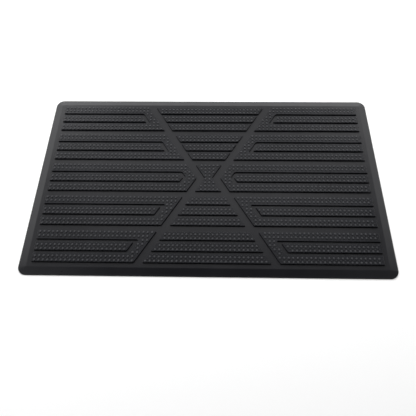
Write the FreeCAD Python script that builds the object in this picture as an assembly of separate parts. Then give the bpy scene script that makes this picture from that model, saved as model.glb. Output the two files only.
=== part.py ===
import FreeCAD, Part
import math
import os

os.makedirs("parts", exist_ok=True)

# Rubber scraper door mat, modelled in millimetres, +Z up.
# The origin is the centre of the underside. +X runs along the long side, +Y towards the
# rear edge. The mat is one moulding, and each node is one region of it: the floor web,
# the ramped border and the raised islands that scrape and drain. Islands are drafted
# prisms whose tops stand at the tips of the small nubs that cover them.

# Overall sizes
mat_width = 762.0
mat_depth = 457.0
floor_thickness = 4.9
bar_height = 3.2
nub_height = 1.4

# Border
lip_height = 1.5
ramp_width = 17.5
crease_run = 0.8

# Rows of bars
row_count = 5
bars_per_row = 3
bar_depth = 19.2
bar_groove = 5.8
row_channel = 14.5
wall_draft = 0.4

# Diagonal channels, which cross at the middle of the mat. Every diagonal edge leans by
# the same angle from the Y axis, and the widths are measured along X.
diagonal_lean = 31.0
waist_half_width = 8.0
channel_run = 18.5
return_run = 23.0
end_groove_run = 8.5

# Worked out from the sizes above
island_top = floor_thickness + bar_height + nub_height
bar_pitch = bar_depth + bar_groove
row_depth = bars_per_row * bar_depth + (bars_per_row - 1) * bar_groove
row_pitch = row_depth + row_channel
pattern_depth = row_count * row_depth + (row_count - 1) * row_channel
border_width = (mat_depth - pattern_depth) / 2.0
pattern_half_width = mat_width / 2.0 - border_width
web_width = mat_width - 2.0 * ramp_width
web_depth = mat_depth - 2.0 * ramp_width
lean_slope = math.tan(math.radians(diagonal_lean))
return_edge_run = channel_run + return_run
middle_bar_end_run = return_edge_run + end_groove_run
row_names = ["row1", "row2", "row3", "row4", "row5"]
bar_names = ["rear_bar", "middle_bar", "front_bar"]
middle_row = (row_count - 1) // 2


def diagonal_x(y, run):
    """Distance from the Y axis to a diagonal edge at y, set off along X by run."""
    return waist_half_width + lean_slope * abs(y) + run


def bar_span(row, bar):
    """Front and rear edges of a bar; row 0 is at the rear, bar 0 at the rear of its row."""
    row_centre = (middle_row - row) * row_pitch
    bar_centre = row_centre + (1 - bar) * bar_pitch
    return bar_centre - bar_depth / 2.0, bar_centre + bar_depth / 2.0


def diagonal_points(y_from, y_to, run):
    """Points of a diagonal edge from y_from to y_to, with its bend where it crosses y = 0."""
    heights = [y_from, y_to]
    if y_from * y_to < 0.0:
        heights = [y_from, 0.0, y_to]
    return [(diagonal_x(y, run), y) for y in heights]


def centre_outline(front, rear):
    """Outline of an island between the diagonal channels, counter-clockwise."""
    right_edge = diagonal_points(front, rear, 0.0)
    left_edge = [(-x, y) for x, y in reversed(right_edge)]
    return right_edge + left_edge


def middle_bar_outline(row):
    """Outline of the right-hand bar that lies inside a hairpin, counter-clockwise."""
    front, rear = bar_span(row, 1)
    slanted_end = diagonal_points(rear, front, middle_bar_end_run)
    return [(pattern_half_width, front), (pattern_half_width, rear)] + slanted_end


def hairpin_outline(row):
    """Outline of a right-hand hairpin, open at the mat's side, counter-clockwise."""
    front_low, front_high = bar_span(row, bars_per_row - 1)
    rear_low, rear_high = bar_span(row, 0)
    channel_edge = diagonal_points(rear_high, front_low, channel_run)
    inner_edge = diagonal_points(front_high, rear_low, return_edge_run)
    outline = [(pattern_half_width, rear_high)] + channel_edge
    outline += [(pattern_half_width, front_low), (pattern_half_width, front_high)]
    outline += inner_edge
    outline += [(pattern_half_width, rear_low)]
    return outline


def mirrored(outline):
    """The same outline on the left-hand side, still counter-clockwise."""
    return [(-x, y) for x, y in reversed(outline)]


def widened(outline, distance):
    """Counter-clockwise outline with each side moved out by distance."""
    count = len(outline)
    result = []
    for index in range(count):
        before = outline[index - 1]
        here = outline[index]
        after = outline[(index + 1) % count]
        length_in = math.hypot(here[0] - before[0], here[1] - before[1])
        length_out = math.hypot(after[0] - here[0], after[1] - here[1])
        normal_in = ((here[1] - before[1]) / length_in, (before[0] - here[0]) / length_in)
        normal_out = ((after[1] - here[1]) / length_out, (here[0] - after[0]) / length_out)
        along = 1.0 + normal_in[0] * normal_out[0] + normal_in[1] * normal_out[1]
        shift_x = distance * (normal_in[0] + normal_out[0]) / along
        shift_y = distance * (normal_in[1] + normal_out[1]) / along
        result.append((here[0] + shift_x, here[1] + shift_y))
    return result


def island(outline):
    """Raised island with drafted walls, from the floor's top to the nub tips."""
    foot = [FreeCAD.Vector(x, y, floor_thickness) for x, y in widened(outline, wall_draft)]
    crown = [FreeCAD.Vector(x, y, island_top) for x, y in outline]
    count = len(outline)
    faces = []
    for index in range(count):
        following = (index + 1) % count
        corners = [foot[index], foot[following], crown[following], crown[index]]
        faces.append(Part.Face(Part.makePolygon(corners + corners[:1])))
    faces.append(Part.Face(Part.makePolygon(foot + foot[:1])))
    faces.append(Part.Face(Part.makePolygon(crown + crown[:1])))
    solid = Part.Solid(Part.Shell(faces))
    if solid.Volume < 0.0:
        solid.reverse()
    return solid


def floor_web():
    """Flat sheet that carries the islands, inside the ramped border."""
    corner = FreeCAD.Vector(-web_width / 2.0, -web_depth / 2.0, 0.0)
    return Part.makeBox(web_width, web_depth, floor_thickness, corner)


def ramp_face():
    """Cross-section of the border in the XZ plane, its inner edge on x = 0."""
    slope = math.atan((floor_thickness - lip_height) / (ramp_width - crease_run))
    radius = crease_run / math.tan(slope / 2.0)
    inner_top = FreeCAD.Vector(0.0, 0.0, floor_thickness)
    lip_top = FreeCAD.Vector(ramp_width, 0.0, lip_height)
    lip_foot = FreeCAD.Vector(ramp_width, 0.0, 0.0)
    inner_foot = FreeCAD.Vector(0.0, 0.0, 0.0)
    crest_x = radius * math.sin(slope / 2.0)
    crest_z = floor_thickness - radius * (1.0 - math.cos(slope / 2.0))
    crest = FreeCAD.Vector(crest_x, 0.0, crest_z)
    ramp_x = radius * math.sin(slope)
    ramp_z = floor_thickness - radius * (1.0 - math.cos(slope))
    ramp_top = FreeCAD.Vector(ramp_x, 0.0, ramp_z)
    edges = [
        Part.Arc(inner_top, crest, ramp_top).toShape(),
        Part.LineSegment(ramp_top, lip_top).toShape(),
        Part.LineSegment(lip_top, lip_foot).toShape(),
        Part.LineSegment(lip_foot, inner_foot).toShape(),
        Part.LineSegment(inner_foot, inner_top).toShape(),
    ]
    return Part.Face(Part.Wire(edges))


def turned_and_placed(shape, turn_degrees, x, y):
    """Copy of a shape turned about +Z and then moved to x, y."""
    placed = shape.copy()
    placed.rotate(FreeCAD.Vector(0, 0, 0), FreeCAD.Vector(0, 0, 1), turn_degrees)
    placed.translate(FreeCAD.Vector(x, y, 0.0))
    return placed


def straight_ramp(length, turn_degrees, x, y):
    """Straight run of the border, whose inner edge is centred on x, y."""
    run = ramp_face().extrude(FreeCAD.Vector(0.0, length, 0.0))
    run.translate(FreeCAD.Vector(0.0, -length / 2.0, 0.0))
    return turned_and_placed(run, turn_degrees, x, y)


def corner_ramp(turn_degrees, x, y):
    """Rounded corner of the border, turned about the web's corner at x, y."""
    corner = ramp_face().revolve(FreeCAD.Vector(0, 0, 0), FreeCAD.Vector(0, 0, 1), 90.0)
    return turned_and_placed(corner, turn_degrees, x, y)


def border_nodes():
    """The four straight ramps and the four rounded corners of the border."""
    half_x = web_width / 2.0
    half_y = web_depth / 2.0
    return {
        "right_ramp": straight_ramp(web_depth, 0.0, half_x, 0.0),
        "rear_ramp": straight_ramp(web_width, 90.0, 0.0, half_y),
        "left_ramp": straight_ramp(web_depth, 180.0, -half_x, 0.0),
        "front_ramp": straight_ramp(web_width, 270.0, 0.0, -half_y),
        "rear_right_corner": corner_ramp(0.0, half_x, half_y),
        "rear_left_corner": corner_ramp(90.0, -half_x, half_y),
        "front_left_corner": corner_ramp(180.0, -half_x, -half_y),
        "front_right_corner": corner_ramp(270.0, half_x, -half_y),
    }


def side_nodes(row):
    """Hairpin and middle bar of a row, on the right and on the left."""
    hairpin = hairpin_outline(row)
    middle_bar = middle_bar_outline(row)
    prefix = row_names[row]
    return {
        prefix + "_right_hairpin": island(hairpin),
        prefix + "_right_middle_bar": island(middle_bar),
        prefix + "_left_hairpin": island(mirrored(hairpin)),
        prefix + "_left_middle_bar": island(mirrored(middle_bar)),
    }


def centre_nodes(row):
    """The three short bars of a row, or the hourglass where the channels cross."""
    prefix = row_names[row] + "_centre_"
    if row == middle_row:
        front = bar_span(row, bars_per_row - 1)[0]
        rear = bar_span(row, 0)[1]
        return {prefix + "hourglass": island(centre_outline(front, rear))}
    nodes = {}
    for bar in range(bars_per_row):
        front, rear = bar_span(row, bar)
        nodes[prefix + bar_names[bar]] = island(centre_outline(front, rear))
    return nodes


nodes = {"floor_web": floor_web()}
nodes.update(border_nodes())
for row in range(row_count):
    nodes.update(side_nodes(row))
    nodes.update(centre_nodes(row))

for name, shape in nodes.items():
    shape.exportStep("parts/" + name + ".step")

total_volume = sum(shape.Volume for shape in nodes.values())
all_valid = all(shape.isValid() for shape in nodes.values())
print("nodes", len(nodes), "all valid", all_valid)
print("volume cm3", round(total_volume / 1000.0, 1), "border width mm", round(border_width, 2))
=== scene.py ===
"""Rubber scraper door mat: one moulding with a ramped border and nubbed, raised bars."""

import logging
import math
from dataclasses import dataclass, field
from enum import Enum
from typing import Callable, Iterable

import bpy
import numpy as np
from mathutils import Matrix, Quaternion, Vector


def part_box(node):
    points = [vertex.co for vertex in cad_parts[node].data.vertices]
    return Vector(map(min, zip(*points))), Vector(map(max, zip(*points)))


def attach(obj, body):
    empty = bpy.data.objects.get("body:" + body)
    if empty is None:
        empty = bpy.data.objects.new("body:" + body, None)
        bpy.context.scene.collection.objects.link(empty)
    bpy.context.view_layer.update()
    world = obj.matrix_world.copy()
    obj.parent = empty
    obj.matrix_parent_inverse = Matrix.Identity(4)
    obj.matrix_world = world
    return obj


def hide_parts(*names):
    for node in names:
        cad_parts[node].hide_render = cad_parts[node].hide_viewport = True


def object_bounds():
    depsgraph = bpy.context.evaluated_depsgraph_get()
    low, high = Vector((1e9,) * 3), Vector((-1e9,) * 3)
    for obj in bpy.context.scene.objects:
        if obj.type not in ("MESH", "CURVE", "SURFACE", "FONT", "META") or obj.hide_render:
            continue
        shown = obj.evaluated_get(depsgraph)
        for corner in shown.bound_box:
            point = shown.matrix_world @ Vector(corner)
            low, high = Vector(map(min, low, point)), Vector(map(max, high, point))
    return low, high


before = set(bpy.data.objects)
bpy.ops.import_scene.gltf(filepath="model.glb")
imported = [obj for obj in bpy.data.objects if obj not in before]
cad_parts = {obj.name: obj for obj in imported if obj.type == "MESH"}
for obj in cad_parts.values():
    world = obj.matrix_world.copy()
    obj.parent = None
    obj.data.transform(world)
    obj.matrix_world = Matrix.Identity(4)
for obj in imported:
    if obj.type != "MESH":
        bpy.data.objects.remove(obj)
CAD_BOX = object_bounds()

MM = 0.001
BODY = "root"
FLAT_RING = 0.15 * MM  # narrow flat strip beside each rounding, which keeps its shading off the flats
CUT_THRESHOLD = 1e-7
STRAIGHT_ANGLE = math.radians(1.0)
SMOOTH_ANGLE = math.radians(40.0)
Pair = tuple[float, float]
Colour = tuple[float, float, float, float]
log = logging.getLogger("door_mat")


class Side(Enum):
    """Which side of the mat a piece lies on, as the sign of its X."""

    LEFT = -1
    RIGHT = 1


class IslandKind(Enum):
    """The plan shapes of the raised islands."""

    HAIRPIN = "hairpin"
    MIDDLE_BAR = "middle_bar"
    CENTRE_BAR = "centre_bar"
    HOURGLASS = "hourglass"


class Slot(Enum):
    """Names of the two rubber materials."""

    SMOOTH = "smooth_rubber"
    TREAD = "tread_rubber"


@dataclass(frozen=True)
class MatSizes:
    """Driving sizes of the mat: lengths in metres, its lean in radians, and two counts."""

    floor_top: float = 4.9 * MM
    bar_height: float = 3.2 * MM
    nub_height: float = 1.4 * MM
    lip_height: float = 1.5 * MM
    ramp_width: float = 17.5 * MM
    bar_depth: float = 19.2 * MM
    bar_groove: float = 5.8 * MM
    row_channel: float = 14.5 * MM
    wall_draft: float = 0.4 * MM
    lean: float = math.radians(31.0)
    waist: float = 8.0 * MM
    channel_run: float = 18.5 * MM
    return_run: float = 23.0 * MM
    end_groove_run: float = 8.5 * MM
    rows: int = 5
    bars: int = 3

    @property
    def bar_pitch(self) -> float:
        """Distance between neighbouring bars of a row."""
        return self.bar_depth + self.bar_groove

    @property
    def row_pitch(self) -> float:
        """Distance between neighbouring rows."""
        return self.bars * self.bar_pitch - self.bar_groove + self.row_channel

    @property
    def half_length(self) -> float:
        """Distance from the Y axis to the outer ends of the bars."""
        row_depth = self.bars * self.bar_pitch - self.bar_groove
        pattern_depth = (self.rows - 1) * self.row_pitch + row_depth
        border = (CAD_BOX[1].y - CAD_BOX[0].y - pattern_depth) / 2.0
        return CAD_BOX[1].x - border

    def diagonal(self, y: float, run: float) -> float:
        """Distance from the Y axis to a diagonal edge.

        Args:
            y: Where along the mat's depth the edge is asked for.
            run: How far along X the edge is set off from the waist's edge.

        Returns:
            The distance in metres.
        """
        return self.waist + math.tan(self.lean) * abs(y) + run

    def bar_span(self, row: int, bar: int) -> Pair:
        """Front and rear edge of a bar at its top.

        Args:
            row: Row number, 0 at the rear.
            bar: Bar number within the row, 0 at the rear.

        Returns:
            The two Y values, front first.
        """
        row_centre = ((self.rows - 1) / 2 - row) * self.row_pitch
        centre = row_centre + ((self.bars - 1) / 2 - bar) * self.bar_pitch
        return centre - self.bar_depth / 2, centre + self.bar_depth / 2


SIZES = MatSizes()


def rounding(radius: float, steps: int, convex: bool) -> list[Pair]:
    """Steps that follow a quarter circle, inward and upward.

    Args:
        radius: Radius of the quarter circle.
        steps: Number of straight steps.
        convex: True for a rounded top edge, False for a fillet at a wall's foot.

    Returns:
        One (inward, upward) step for each stretch.
    """
    turns = [math.pi / 2 * index / steps for index in range(steps + 1)]
    if convex:
        points = [(radius * (1 - math.cos(turn)), radius * math.sin(turn)) for turn in turns]
    else:
        points = [(radius * math.sin(turn), radius * (1 - math.cos(turn))) for turn in turns]
    return [(b[0] - a[0], b[1] - a[1]) for a, b in zip(points, points[1:])]


def edit(obj: bpy.types.Object, face_mode: bool = True) -> None:
    """Opens a piece alone in edit mode with everything selected.

    Args:
        obj: The piece.
        face_mode: True to select by faces, False to select by vertices.
    """
    bpy.ops.object.select_all(action="DESELECT")
    obj.select_set(True)
    bpy.context.view_layer.objects.active = obj
    bpy.ops.object.mode_set(mode="EDIT")
    bpy.ops.mesh.select_mode(type="FACE" if face_mode else "VERT")
    bpy.ops.mesh.select_all(action="SELECT")


def close_edit() -> None:
    """Goes back to object mode."""
    bpy.ops.object.mode_set(mode="OBJECT")


def cut(point: Vector, normal: Vector) -> None:
    """Cuts the open mesh along a plane, keeping both halves."""
    bpy.ops.mesh.select_all(action="SELECT")
    bpy.ops.mesh.bisect(plane_co=point, plane_no=normal, threshold=CUT_THRESHOLD)


def pick_faces(obj: bpy.types.Object, wanted: Callable[[bpy.types.MeshPolygon], bool]) -> int:
    """Selects the open mesh's faces that answer a question, and no others.

    Args:
        obj: The piece, open in edit mode.
        wanted: Says for a face if it is selected.

    Returns:
        How many faces are selected.
    """
    bpy.ops.mesh.select_mode(type="FACE")
    bpy.ops.mesh.select_all(action="DESELECT")
    close_edit()
    count = 0
    for polygon in obj.data.polygons:
        polygon.select = wanted(polygon)
        count += polygon.select
    bpy.ops.object.mode_set(mode="EDIT")
    return count


def pick_vertices(obj: bpy.types.Object, wanted: Callable[[Vector], bool]) -> int:
    """Selects the open mesh's vertices that answer a question, and no others.

    Args:
        obj: The piece, open in edit mode.
        wanted: Says for a vertex's place if it is selected.

    Returns:
        How many vertices are selected.
    """
    bpy.ops.mesh.select_mode(type="VERT")
    bpy.ops.mesh.select_all(action="DESELECT")
    close_edit()
    count = 0
    for vertex in obj.data.vertices:
        vertex.select = wanted(vertex.co)
        count += vertex.select
    bpy.ops.object.mode_set(mode="EDIT")
    return count


def face_outwards(obj: bpy.types.Object) -> None:
    """Turns all the faces of a closed piece outwards.

    Args:
        obj: The piece, in object mode.
    """
    edit(obj)
    bpy.ops.mesh.normals_make_consistent(inside=False)
    close_edit()
    volume = sum(face.area * face.normal.dot(face.center) for face in obj.data.polygons)
    if volume < 0.0:
        edit(obj)
        bpy.ops.mesh.flip_normals()
        close_edit()


def blank(name: str, low: Vector, high: Vector, height: float) -> bpy.types.Object:
    """Flat rectangular blank that a moulding is raised from.

    Args:
        name: Name of the piece.
        low: Lowest corner of the rectangle.
        high: Highest corner of the rectangle.
        height: Its height above the ground.

    Returns:
        The new object, with its size and place in its mesh.
    """
    bpy.ops.object.select_all(action="DESELECT")
    bpy.ops.mesh.primitive_plane_add(size=1.0, location=(0.0, 0.0, 0.0))
    obj = bpy.context.object
    obj.name = name
    obj.data.name = name
    obj.location = ((low.x + high.x) / 2, (low.y + high.y) / 2, height)
    obj.scale = (high.x - low.x, high.y - low.y, 1.0)
    bpy.ops.object.transform_apply(location=True, rotation=True, scale=True)
    return obj


def raise_along(steps: Iterable[Pair]) -> None:
    """Raises the selected face of the open mesh along a profile, then closes its underside.

    Args:
        steps: (inward, upward) steps, from the foot of the profile to its top.
    """
    for inward, upward in steps:
        bpy.ops.mesh.inset(thickness=inward, depth=upward, use_even_offset=True)
    bpy.ops.mesh.select_all(action="DESELECT")
    bpy.ops.mesh.select_mode(type="EDGE")
    bpy.ops.mesh.select_non_manifold(extend=False)
    bpy.ops.mesh.edge_face_add()


def slice_up(low: Vector, high: Vector, spacing: float, across_y: bool) -> None:
    """Cuts the open mesh at even steps, which keeps its long faces and strips short.

    Args:
        low: Lowest corner of the piece.
        high: Highest corner of the piece.
        spacing: Distance between the cuts.
        across_y: True to cut along Y as well as along X.
    """
    axes = [Vector((1.0, 0.0, 0.0))]
    if across_y:
        axes.append(Vector((0.0, 1.0, 0.0)))
    for axis in axes:
        first = math.ceil(low.dot(axis) / spacing)
        last = math.floor(high.dot(axis) / spacing)
        for index in range(first, last + 1):
            cut(axis * (index * spacing), axis)


@dataclass(frozen=True)
class IslandPlan:
    """Plan shape and name of one raised island."""

    kind: IslandKind
    row: int
    bar: int = 0
    side: Side = Side.RIGHT

    @property
    def node(self) -> str:
        """Name of the island's node in the frame."""
        row = f"row{self.row + 1}"
        if self.kind is IslandKind.HOURGLASS:
            return f"{row}_centre_hourglass"
        if self.kind is IslandKind.CENTRE_BAR:
            return f"{row}_centre_{('rear', 'middle', 'front')[self.bar]}_bar"
        return f"{row}_{self.side.name.lower()}_{self.kind.value}"

    @property
    def span(self) -> Pair:
        """Front and rear edge of the island at its top."""
        if self.kind in (IslandKind.HAIRPIN, IslandKind.HOURGLASS):
            return SIZES.bar_span(self.row, SIZES.bars - 1)[0], SIZES.bar_span(self.row, 0)[1]
        return SIZES.bar_span(self.row, self.bar)

    @property
    def slant_runs(self) -> tuple[float, ...]:
        """How far the island's diagonal edges are set off from the waist, along X."""
        return_edge = SIZES.channel_run + SIZES.return_run
        if self.kind is IslandKind.HAIRPIN:
            return SIZES.channel_run, return_edge
        if self.kind is IslandKind.MIDDLE_BAR:
            return (return_edge + SIZES.end_groove_run,)
        return (0.0,)

    def covers(self, x: float, y: float, grow: float) -> bool:
        """Says if a place belongs to the island.

        Args:
            x: X of the place.
            y: Y of the place.
            grow: How far the outline is moved out, or in if negative.

        Returns:
            True inside the outline.
        """
        front, rear = self.span
        slant = grow / math.cos(SIZES.lean)
        if not front - grow < y < rear + grow:
            return False
        if self.kind in (IslandKind.CENTRE_BAR, IslandKind.HOURGLASS):
            return abs(x) < SIZES.diagonal(y, 0.0) + slant
        out = x * self.side.value
        if out > SIZES.half_length + grow or out < SIZES.diagonal(y, self.slant_runs[0]) - slant:
            return False
        if self.kind is IslandKind.MIDDLE_BAR:
            return True
        notch_front = SIZES.bar_span(self.row, SIZES.bars - 1)[1] + grow
        notch_rear = SIZES.bar_span(self.row, 0)[0] - grow
        in_notch = out > SIZES.diagonal(y, self.slant_runs[1]) + slant
        return not (in_notch and notch_front < y < notch_rear)

    def cut_planes(self, grow: float) -> list[tuple[Vector, Vector]]:
        """Planes along all the edges of the outline.

        Args:
            grow: How far the outline is moved out.

        Returns:
            A point and a normal for each plane.
        """
        slant = grow / math.cos(SIZES.lean)
        front, rear = self.span
        levels = [front - grow, rear + grow]
        if self.kind is IslandKind.HAIRPIN:
            levels.append(SIZES.bar_span(self.row, SIZES.bars - 1)[1] + grow)
            levels.append(SIZES.bar_span(self.row, 0)[0] - grow)
        planes = [(Vector((0.0, y, 0.0)), Vector((0.0, 1.0, 0.0))) for y in levels]
        centred = self.kind in (IslandKind.CENTRE_BAR, IslandKind.HOURGLASS)
        sides = (-1, 1) if centred else (self.side.value,)
        halves = [half for half, edge in ((-1, front), (1, rear)) if edge * half > 0.0]
        outward = 1 if centred else -1
        for side in sides:
            if not centred:
                end = side * (SIZES.half_length + grow)
                planes.append((Vector((end, 0.0, 0.0)), Vector((1.0, 0.0, 0.0))))
            for index, run in enumerate(self.slant_runs):
                sense = outward if index == 0 else 1
                foot = side * (SIZES.waist + run + sense * slant)
                for half in halves:
                    normal = Vector((side, -half * math.tan(SIZES.lean), 0.0)).normalized()
                    planes.append((Vector((foot, 0.0, 0.0)), normal))
        return planes


@dataclass
class NubField:
    """Rows of domed nubs on top of an island: main rows, and smaller nubs staggered between.

    The dome's steps run inward and upward from the nub's foot, and they are scaled to its height.
    """

    pitch: float = 9.0 * MM
    first_column: float = 0.25
    spare_columns: int = 2
    row_pitch: float = 4.5 * MM
    foot_radius: float = 2.3 * MM
    stretch: float = 1.3
    minor_scale: float = 0.5
    sides: int = 10
    sink: float = 0.2 * MM
    edge_gap: float = 0.4 * MM
    dome: tuple[Pair, ...] = (
        (0.25 * MM, 0.55 * MM),
        (0.45 * MM, 0.28 * MM),
        (0.7 * MM, 0.15 * MM),
    )

    def first_nub(self, scale: float) -> bpy.types.Object:
        """One nub, standing on the bars' top at the middle of the mat.

        Args:
            scale: Its size, where 1 is a nub of a main row.

        Returns:
            The nub, which fields are copied from.
        """
        bpy.ops.object.select_all(action="DESELECT")
        foot = SIZES.floor_top + SIZES.bar_height - self.sink
        bpy.ops.mesh.primitive_circle_add(
            vertices=self.sides, radius=self.foot_radius * scale, fill_type="NGON",
            location=(0.0, 0.0, foot))
        nub = bpy.context.object
        nub.name = "nub"
        nub.scale.y = self.stretch
        bpy.ops.object.transform_apply(location=True, rotation=True, scale=True)
        edit(nub)
        rise = SIZES.nub_height / sum(upward for _, upward in self.dome)
        dome = [(inward * scale, upward * rise * scale) for inward, upward in self.dome]
        raise_along([(0.0, self.sink)] + dome)
        close_edit()
        face_outwards(nub)
        return nub

    def over(self, plan: IslandPlan) -> bpy.types.Object:
        """A field of nubs that fits one island.

        Args:
            plan: The island.

        Returns:
            All its nubs in one object.
        """
        low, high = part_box(plan.node)
        front, rear = plan.span
        row_total = math.floor((rear - front - 2 * self.foot_radius) / self.row_pitch) + 1
        columns = math.ceil((high.x - low.x) / self.pitch) + self.spare_columns
        start_x = (math.floor(low.x / self.pitch) + self.first_column) * self.pitch
        start_y = (front + rear) / 2 - (row_total - 1) / 2 * self.row_pitch
        rows = [self.first_nub(1.0), self.first_nub(self.minor_scale)]
        for index, row in enumerate(rows):
            row.location = (start_x - index * self.pitch / 2, start_y + index * self.row_pitch, 0)
        bpy.ops.object.select_all(action="DESELECT")
        for row in rows:
            row.select_set(True)
        bpy.context.view_layer.objects.active = rows[0]
        bpy.ops.object.transform_apply(location=True, rotation=True, scale=True)
        per_nub = len(rows[0].data.vertices)
        bpy.ops.object.join()
        nubs = bpy.context.object
        for count, step in ((columns, (self.pitch, 0.0, 0.0)),
                            (math.ceil(row_total / 2), (0.0, 2 * self.row_pitch, 0.0))):
            array = nubs.modifiers.new("repeat", "ARRAY")
            array.count = count
            array.use_relative_offset = False
            array.use_constant_offset = True
            array.constant_offset_displace = step
            bpy.ops.object.modifier_apply(modifier=array.name)
        self.trim(nubs, plan, per_nub)
        return nubs

    def trim(self, nubs: bpy.types.Object, plan: IslandPlan, per_nub: int) -> None:
        """Deletes the nubs that don't fit on the island's top.

        Args:
            nubs: The field of nubs.
            plan: The island.
            per_nub: How many vertices a nub has.
        """
        places = np.empty(len(nubs.data.vertices) * 3)
        nubs.data.vertices.foreach_get("co", places)
        centres = places.reshape(-1, per_nub, 3).mean(axis=1)
        inside = -(self.foot_radius + self.edge_gap)
        spare = np.repeat([not plan.covers(x, y, inside) for x, y, _ in centres], per_nub)
        edit(nubs, face_mode=False)
        bpy.ops.mesh.select_all(action="DESELECT")
        close_edit()
        nubs.data.vertices.foreach_set("select", spare)
        bpy.ops.object.mode_set(mode="EDIT")
        if spare.any():
            bpy.ops.mesh.delete(type="VERT")
        close_edit()


@dataclass
class Tread:
    """The raised islands: bars with drafted walls, rounded edges and nubs on top."""

    foot_draft: float = 0.02 * MM
    foot_fillet: float = 0.35 * MM
    foot_steps: int = 2
    long_edge_round: float = 0.4 * MM
    long_edge_steps: int = 3
    end_round: float = 2.2 * MM
    end_steps: int = 5
    pointed_corner: float = 3.0 * MM
    blunt_corner: float = 1.6 * MM
    blunt_steps: int = 3
    inner_corner: float = 3.5 * MM
    corner_steps: int = 4
    sink: float = 0.3 * MM
    slice_spacing: float = 18.0 * MM
    nubs: NubField = field(default_factory=NubField)

    def plans(self) -> list[IslandPlan]:
        """Plans of all the islands, from the rear row to the front row.

        Returns:
            One plan for each island.
        """
        found = []
        for row in range(SIZES.rows):
            for side in Side:
                found.append(IslandPlan(IslandKind.HAIRPIN, row, side=side))
                found.append(IslandPlan(IslandKind.MIDDLE_BAR, row, 1, side))
            if row == SIZES.rows // 2:
                found.append(IslandPlan(IslandKind.HOURGLASS, row))
            else:
                for bar in range(SIZES.bars):
                    found.append(IslandPlan(IslandKind.CENTRE_BAR, row, bar))
        return found

    def profile(self) -> list[Pair]:
        """Steps of an island's wall, from just under the floor's top to the bar's top.

        Returns:
            (inward, upward) steps.
        """
        steps = [(self.foot_draft, self.sink)]
        steps += rounding(self.foot_fillet, self.foot_steps, convex=False)
        wall = SIZES.bar_height - self.foot_fillet - self.long_edge_round
        steps.append((SIZES.wall_draft, wall))
        steps += rounding(self.long_edge_round, self.long_edge_steps, convex=True)
        steps.append((FLAT_RING, 0.0))
        return steps

    def round_corners(self, obj: bpy.types.Object, plan: IslandPlan) -> None:
        """Rounds the outline's corners: pointed, blunt, and those inside a hairpin's notch.

        Args:
            obj: The flat outline, open in edit mode.
            plan: The island.
        """
        front, rear = plan.span
        middle = abs(front + rear) / 2
        centred = plan.kind in (IslandKind.CENTRE_BAR, IslandKind.HOURGLASS)

        def in_notch(place: Vector) -> bool:
            """Says if a corner is one of those at the closed end of the notch."""
            return (plan.kind is IslandKind.HAIRPIN and front + MM < place.y < rear - MM
                    and abs(place.x) < SIZES.half_length - MM)

        def outside(place: Vector) -> bool:
            """Says if a corner is on the outside of the outline."""
            return not (front + MM < place.y < rear - MM) or abs(place.x) > SIZES.half_length - MM

        def pointed(place: Vector) -> bool:
            """Says if a corner is one where a diagonal edge meets a bar's edge in a point."""
            beyond = abs(place.y) > middle if centred else abs(place.y) < middle
            return outside(place) and beyond and abs(place.x) < SIZES.half_length - MM

        for wanted, size in ((in_notch, self.inner_corner), (pointed, self.pointed_corner)):
            if pick_vertices(obj, wanted):
                bpy.ops.mesh.bevel(offset=size, segments=self.corner_steps, affect="VERTICES")

        def blunt(place: Vector) -> bool:
            """Says if a corner is still to be rounded."""
            return outside(place) and not pointed(place)

        if pick_vertices(obj, blunt):
            bpy.ops.mesh.bevel(offset=self.blunt_corner, segments=self.blunt_steps,
                               affect="VERTICES")

    def round_end(self, plan: IslandPlan) -> None:
        """Rounds the top edge of the bars' outer ends, with cuts tangent to a quarter circle.

        Args:
            plan: The island, open in edit mode.
        """
        side = plan.side.value
        top = SIZES.floor_top + SIZES.bar_height
        centre = Vector((side * (SIZES.half_length - self.end_round), 0.0, top - self.end_round))
        for index in range(1, self.end_steps):
            turn = math.pi / 2 * index / self.end_steps
            normal = Vector((side * math.sin(turn), 0.0, math.cos(turn)))
            bpy.ops.mesh.select_all(action="SELECT")
            bpy.ops.mesh.bisect(plane_co=centre + normal * self.end_round, plane_no=normal,
                                use_fill=True, clear_outer=True, threshold=CUT_THRESHOLD)
        cut(centre - Vector((side * FLAT_RING, 0.0, 0.0)), Vector((1.0, 0.0, 0.0)))

    def body(self, plan: IslandPlan) -> bpy.types.Object:
        """The bar under the nubs.

        Args:
            plan: The island.

        Returns:
            The closed bar.
        """
        grow = self.foot_fillet + SIZES.wall_draft
        low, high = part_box(plan.node)
        spread = Vector((2 * grow, 2 * grow, 0.0))
        obj = blank("tread_" + plan.node, low - spread, high + spread, SIZES.floor_top - self.sink)
        edit(obj)
        for point, normal in plan.cut_planes(grow):
            cut(point, normal)
        if pick_faces(obj, lambda face: not plan.covers(face.center.x, face.center.y, grow)):
            bpy.ops.mesh.delete(type="FACE")
        bpy.ops.mesh.select_all(action="SELECT")
        bpy.ops.mesh.dissolve_limited(angle_limit=STRAIGHT_ANGLE)
        self.round_corners(obj, plan)
        bpy.ops.mesh.select_mode(type="FACE")
        bpy.ops.mesh.select_all(action="SELECT")
        raise_along(self.profile())
        if plan.kind in (IslandKind.HAIRPIN, IslandKind.MIDDLE_BAR):
            self.round_end(plan)
        slice_up(low, high, self.slice_spacing, across_y=False)
        close_edit()
        face_outwards(obj)
        return obj

    def build(self) -> list[bpy.types.Object]:
        """All the islands, each with its nubs.

        Returns:
            One object for each island.
        """
        made = []
        for plan in self.plans():
            obj = self.body(plan)
            nubs = self.nubs.over(plan)
            bpy.ops.object.select_all(action="DESELECT")
            nubs.select_set(True)
            obj.select_set(True)
            bpy.context.view_layer.objects.active = obj
            bpy.ops.object.join()
            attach(obj, BODY)
            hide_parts(plan.node)
            made.append(obj)
        return made


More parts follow.
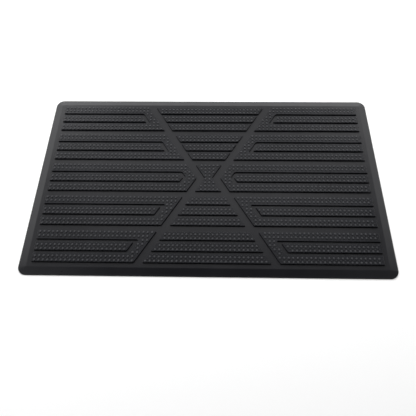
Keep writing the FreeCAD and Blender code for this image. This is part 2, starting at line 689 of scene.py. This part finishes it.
@dataclass
class BaseMoulding:
    """The floor web and the ramped border round it, as one sheet of rubber."""

    corner_radius: float = 18.0 * MM
    corner_segments: int = 12
    lip_draft: float = 0.1 * MM
    lip_round: float = 0.5 * MM
    crease_run: float = 0.8 * MM
    round_steps: int = 3
    slice_spacing: float = 18.0 * MM

    def profile(self) -> list[Pair]:
        """Steps of the border, from its underside up the lip and the ramp to the floor.

        Returns:
            (inward, upward) steps.
        """
        drop = SIZES.floor_top - SIZES.lip_height
        slope = math.atan(drop / (SIZES.ramp_width - self.crease_run))
        lip_turn = math.pi / 2 - slope
        lip_radius = self.lip_round / math.tan(lip_turn / 2)
        crease_radius = self.crease_run / math.tan(slope / 2)
        parts = [index / self.round_steps for index in range(self.round_steps + 1)]
        lip_foot = SIZES.lip_height - self.lip_round
        lip = [(self.lip_draft + lip_radius - lip_radius * math.cos(lip_turn * part),
                lip_foot + lip_radius * math.sin(lip_turn * part)) for part in parts]
        crease = [(SIZES.ramp_width - crease_radius * math.sin(slope * (1 - part)),
                   SIZES.floor_top - crease_radius * (1 - math.cos(slope * (1 - part))))
                  for part in parts]
        foot, top = lip[-1], crease[0]
        length = math.dist(foot, top)
        run_in = (top[0] - foot[0]) / length * FLAT_RING
        run_up = (top[1] - foot[1]) / length * FLAT_RING
        ramp_ends = [(foot[0] + run_in, foot[1] + run_up), (top[0] - run_in, top[1] - run_up)]
        points = [(0.0, 0.0)] + lip + ramp_ends + crease
        steps = [(b[0] - a[0], b[1] - a[1]) for a, b in zip(points, points[1:])]
        steps.append((FLAT_RING, 0.0))
        return steps

    def build(self) -> bpy.types.Object:
        """The whole base moulding.

        Returns:
            The closed sheet.
        """
        low, high = CAD_BOX
        obj = blank("base_moulding", low, high, low.z)
        edit(obj, face_mode=False)
        bpy.ops.mesh.bevel(offset=self.corner_radius, segments=self.corner_segments,
                           affect="VERTICES")
        bpy.ops.mesh.select_mode(type="FACE")
        bpy.ops.mesh.select_all(action="SELECT")
        raise_along(self.profile())
        slice_up(low, high, self.slice_spacing, across_y=True)
        close_edit()
        face_outwards(obj)
        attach(obj, BODY)
        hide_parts(*[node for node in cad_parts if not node.startswith("row")])
        return obj


def connect(tree: bpy.types.NodeTree, source: bpy.types.NodeSocket,
            target: bpy.types.NodeSocket) -> None:
    """Links one socket to another."""
    tree.links.new(source, target)


@dataclass(frozen=True)
class RubberFinish:
    """Black moulded rubber with a fine grain, faint patches of bloom, and a lighter tint at some
    heights.

    The tint grows from none at the first of its two heights to its share at the second.
    On the tread it is a painted highlight on the nub tops; on the border it makes the lip lighter.
    """

    name: str
    base: Colour
    bloom: Colour
    bloom_share: float
    height_tint: Colour
    height_tint_share: float
    height_tint_from: float
    height_tint_to: float
    gloss_level: float
    roughness: float
    roughness_spread: float
    grain_scale: float
    grain_depth: float
    grain_strength: float = 0.5
    grain_detail: float = 3.0
    patch_scale: float = 9.0
    patch_detail: float = 5.0
    patch_edges: Pair = (0.35, 0.75)
    gloss_scale: float = 60.0
    gloss_detail: float = 4.0
    ior: float = 1.5

    def noise(self, tree: bpy.types.NodeTree, scale: float, detail: float) -> bpy.types.NodeSocket:
        """Noise on the piece's own coordinates.

        Args:
            tree: The material's nodes.
            scale: Cells per metre.
            detail: Octaves.

        Returns:
            The noise's factor socket.
        """
        where = tree.nodes.new("ShaderNodeTexCoord")
        texture = tree.nodes.new("ShaderNodeTexNoise")
        texture.inputs["Scale"].default_value = scale
        texture.inputs["Detail"].default_value = detail
        connect(tree, where.outputs["Object"], texture.inputs["Vector"])
        return texture.outputs["Fac"]

    def tint_by_height(self, tree: bpy.types.NodeTree, colour: bpy.types.NodeSocket) -> bpy.types.NodeSocket:
        """Mixes a lighter tint into the colour over a band of heights.

        On the tread this is a painted highlight on the nub tops; on the border it makes the lip
        lighter.

        Args:
            tree: The material's nodes.
            colour: The colour before the tint.

        Returns:
            The colour with its tint.
        """
        where = tree.nodes.new("ShaderNodeTexCoord")
        axes = tree.nodes.new("ShaderNodeSeparateXYZ")
        height = tree.nodes.new("ShaderNodeMapRange")
        height.inputs["From Min"].default_value = self.height_tint_from
        height.inputs["From Max"].default_value = self.height_tint_to
        height.inputs["To Max"].default_value = self.height_tint_share
        mix = tree.nodes.new("ShaderNodeMix")
        mix.data_type = "RGBA"
        shown = {socket.identifier: socket for socket in (*mix.inputs, *mix.outputs)}
        shown["B_Color"].default_value = self.height_tint
        connect(tree, where.outputs["Object"], axes.inputs["Vector"])
        connect(tree, axes.outputs["Z"], height.inputs["Value"])
        connect(tree, height.outputs["Result"], shown["Factor_Float"])
        connect(tree, colour, shown["A_Color"])
        return shown["Result_Color"]

    def build(self) -> bpy.types.Material:
        """The finish as a material.

        Returns:
            The new material.
        """
        material = bpy.data.materials.new(self.name)
        material.use_nodes = True
        tree = material.node_tree
        shader = tree.nodes["Principled BSDF"]
        shader.inputs["Specular IOR Level"].default_value = self.gloss_level
        shader.inputs["IOR"].default_value = self.ior
        patches = tree.nodes.new("ShaderNodeValToRGB")
        bloomed = tuple(a + (b - a) * self.bloom_share for a, b in zip(self.base, self.bloom))
        stops = zip(patches.color_ramp.elements, self.patch_edges, (self.base, bloomed))
        for stop, position, colour in stops:
            stop.position = position
            stop.color = colour
        connect(tree, self.noise(tree, self.patch_scale, self.patch_detail), patches.inputs["Fac"])
        connect(tree, self.tint_by_height(tree, patches.outputs["Color"]), shader.inputs["Base Color"])
        gloss = tree.nodes.new("ShaderNodeMapRange")
        gloss.inputs["To Min"].default_value = self.roughness - self.roughness_spread
        gloss.inputs["To Max"].default_value = self.roughness + self.roughness_spread
        connect(tree, self.noise(tree, self.gloss_scale, self.gloss_detail), gloss.inputs["Value"])
        connect(tree, gloss.outputs["Result"], shader.inputs["Roughness"])
        bump = tree.nodes.new("ShaderNodeBump")
        bump.inputs["Strength"].default_value = self.grain_strength
        bump.inputs["Distance"].default_value = self.grain_depth
        connect(tree, self.noise(tree, self.grain_scale, self.grain_detail), bump.inputs["Height"])
        connect(tree, bump.outputs["Normal"], shader.inputs["Normal"])
        return material


SMOOTH_RUBBER = RubberFinish(
    name="smooth_rubber",
    base=(0.0062, 0.0063, 0.0082, 1.0),
    bloom=(0.0152, 0.0156, 0.0182, 1.0),
    bloom_share=0.3,
    # The colour mixed in from 2.4 mm down to 1.2 mm makes the lip and the foot of the ramp lighter.
    height_tint=(0.0300, 0.0300, 0.0305, 1.0),
    height_tint_share=0.3,
    height_tint_from=2.4 * MM,
    height_tint_to=1.2 * MM,
    gloss_level=0.14,
    roughness=0.30,
    roughness_spread=0.05,
    grain_scale=900.0,
    grain_depth=0.05 * MM,
)
TREAD_RUBBER = RubberFinish(
    name="tread_rubber",
    base=(0.0080, 0.0083, 0.0102, 1.0),
    bloom=(0.0198, 0.0205, 0.0252, 1.0),
    bloom_share=0.35,
    height_tint=(0.0360, 0.0370, 0.0405, 1.0),
    # The colour mixed in from 8.4 mm up to 9.3 mm is a painted highlight on the nub tops.
    height_tint_share=1.0,
    height_tint_from=8.4 * MM,
    height_tint_to=9.3 * MM,
    gloss_level=0.10,
    roughness=0.28,
    roughness_spread=0.05,
    grain_scale=1400.0,
    grain_depth=0.04 * MM,
)


def dress(obj: bpy.types.Object, material: bpy.types.Material) -> None:
    """Gives a piece its finish and its smooth shading.

    Args:
        obj: The piece.
        material: Its finish.
    """
    obj.data.materials.clear()
    obj.data.materials.append(material)
    bpy.ops.object.select_all(action="DESELECT")
    obj.select_set(True)
    bpy.context.view_layer.objects.active = obj
    bpy.ops.object.shade_smooth_by_angle(angle=SMOOTH_ANGLE)


@dataclass(frozen=True)
class Softbox:
    """A rectangular soft light, aimed at the mat from a given direction in degrees."""

    name: str
    around: float
    height: float
    size: Pair
    brightness: float
    distance: float = 2.6

    def build(self) -> None:
        """Hangs the light in its place."""
        data = bpy.data.lights.new(self.name, "AREA")
        data.shape = "RECTANGLE"
        data.size, data.size_y = self.size
        data.energy = self.brightness * self.size[0] * self.size[1] * math.pi
        lamp = bpy.data.objects.new(self.name, data)
        flat = self.distance * math.cos(math.radians(self.height))
        place = Vector((flat * math.sin(math.radians(self.around)),
                        flat * math.cos(math.radians(self.around)),
                        self.distance * math.sin(math.radians(self.height))))
        lamp.location = place
        lamp.rotation_mode = "QUATERNION"
        lamp.rotation_quaternion = (-place).to_track_quat("-Z", "Y")
        lamp.visible_camera = False
        bpy.context.collection.objects.link(lamp)


@dataclass
class Studio:
    """Plain white floor, soft lights and the camera."""

    floor_size: float = 8.0
    floor_gap: float = 0.05 * MM
    floor_paint: Colour = (0.9, 0.9, 0.9, 1.0)
    floor_roughness: float = 0.9
    sky_colour: Colour = (1.0, 1.0, 1.0, 1.0)
    sky_strength: float = 0.01
    eye: tuple[float, float, float] = (0.01777, -0.51040, 0.81009)
    tilt: float = math.radians(61.582)
    turn: float = math.radians(-2.290)
    roll: float = math.radians(-1.522)
    lens: float = 36.9
    sensor_width: float = 36.0
    clip_start: float = 0.01
    softboxes: tuple[Softbox, ...] = (
        Softbox("rear_low_softbox", 0.0, 20.0, (3.0, 0.9), 5.2),
        Softbox("rear_middle_softbox", 0.0, 40.0, (2.6, 0.9), 2.1),
        Softbox("rear_high_softbox", 0.0, 60.0, (2.4, 0.9), 3.5),
        Softbox("top_softbox", 0.0, 82.0, (2.2, 0.9), 0.9),
        Softbox("rear_left_softbox", -50.0, 30.0, (1.8, 1.4), 5.0),
        Softbox("rear_right_softbox", 50.0, 30.0, (1.8, 1.4), 3.8),
        Softbox("left_low_softbox", -95.0, 25.0, (2.0, 1.2), 1.6),
        Softbox("left_high_softbox", -90.0, 55.0, (2.0, 1.0), 1.7),
        Softbox("right_high_softbox", 90.0, 55.0, (2.0, 1.0), 0.9),
    )

    def floor(self) -> None:
        """Lays the floor under the mat."""
        bpy.ops.object.select_all(action="DESELECT")
        bpy.ops.mesh.primitive_plane_add(size=self.floor_size, location=(0.0, 0.0, -self.floor_gap))
        plane = bpy.context.object
        plane.name = "floor"
        paint = bpy.data.materials.new("white_floor")
        paint.use_nodes = True
        shader = paint.node_tree.nodes["Principled BSDF"]
        shader.inputs["Base Color"].default_value = self.floor_paint
        shader.inputs["Roughness"].default_value = self.floor_roughness
        plane.data.materials.append(paint)

    def sky(self) -> None:
        """Adds a dim even light from all round."""
        world = bpy.data.worlds.new("studio")
        bpy.context.scene.world = world
        world.use_nodes = True
        background = world.node_tree.nodes["Background"]
        background.inputs["Color"].default_value = self.sky_colour
        background.inputs["Strength"].default_value = self.sky_strength

    def camera(self) -> None:
        """Sets the camera up in front of the mat and above it."""
        data = bpy.data.cameras.new("camera")
        data.lens = self.lens
        data.sensor_width = self.sensor_width
        data.clip_start = self.clip_start
        camera = bpy.data.objects.new("camera", data)
        bpy.context.collection.objects.link(camera)
        flat = math.cos(self.tilt)
        ahead = Vector((math.sin(self.turn) * flat, math.cos(self.turn) * flat,
                        -math.sin(self.tilt)))
        camera.rotation_mode = "QUATERNION"
        level = ahead.to_track_quat("-Z", "Y")
        camera.rotation_quaternion = level @ Quaternion((0.0, 0.0, 1.0), self.roll)
        camera.location = self.eye
        bpy.context.scene.camera = camera

    def build(self) -> None:
        """Builds the whole studio."""
        self.floor()
        for softbox in self.softboxes:
            softbox.build()
        self.sky()
        self.camera()
        bpy.context.scene.view_settings.view_transform = "Standard"


def main() -> None:
    """Builds the mat, dresses and reports its pieces, and sets up the studio."""
    logging.basicConfig(level=logging.INFO)
    smooth = SMOOTH_RUBBER.build()
    textured = TREAD_RUBBER.build()
    base = BaseMoulding().build()
    dress(base, smooth)
    islands = Tread().build()
    for island in islands:
        dress(island, textured)
    for piece in (base, *islands):
        log.info("%s: %d faces", piece.name, len(piece.data.polygons))
    Studio().build()


if __name__ == "__main__":
    main()
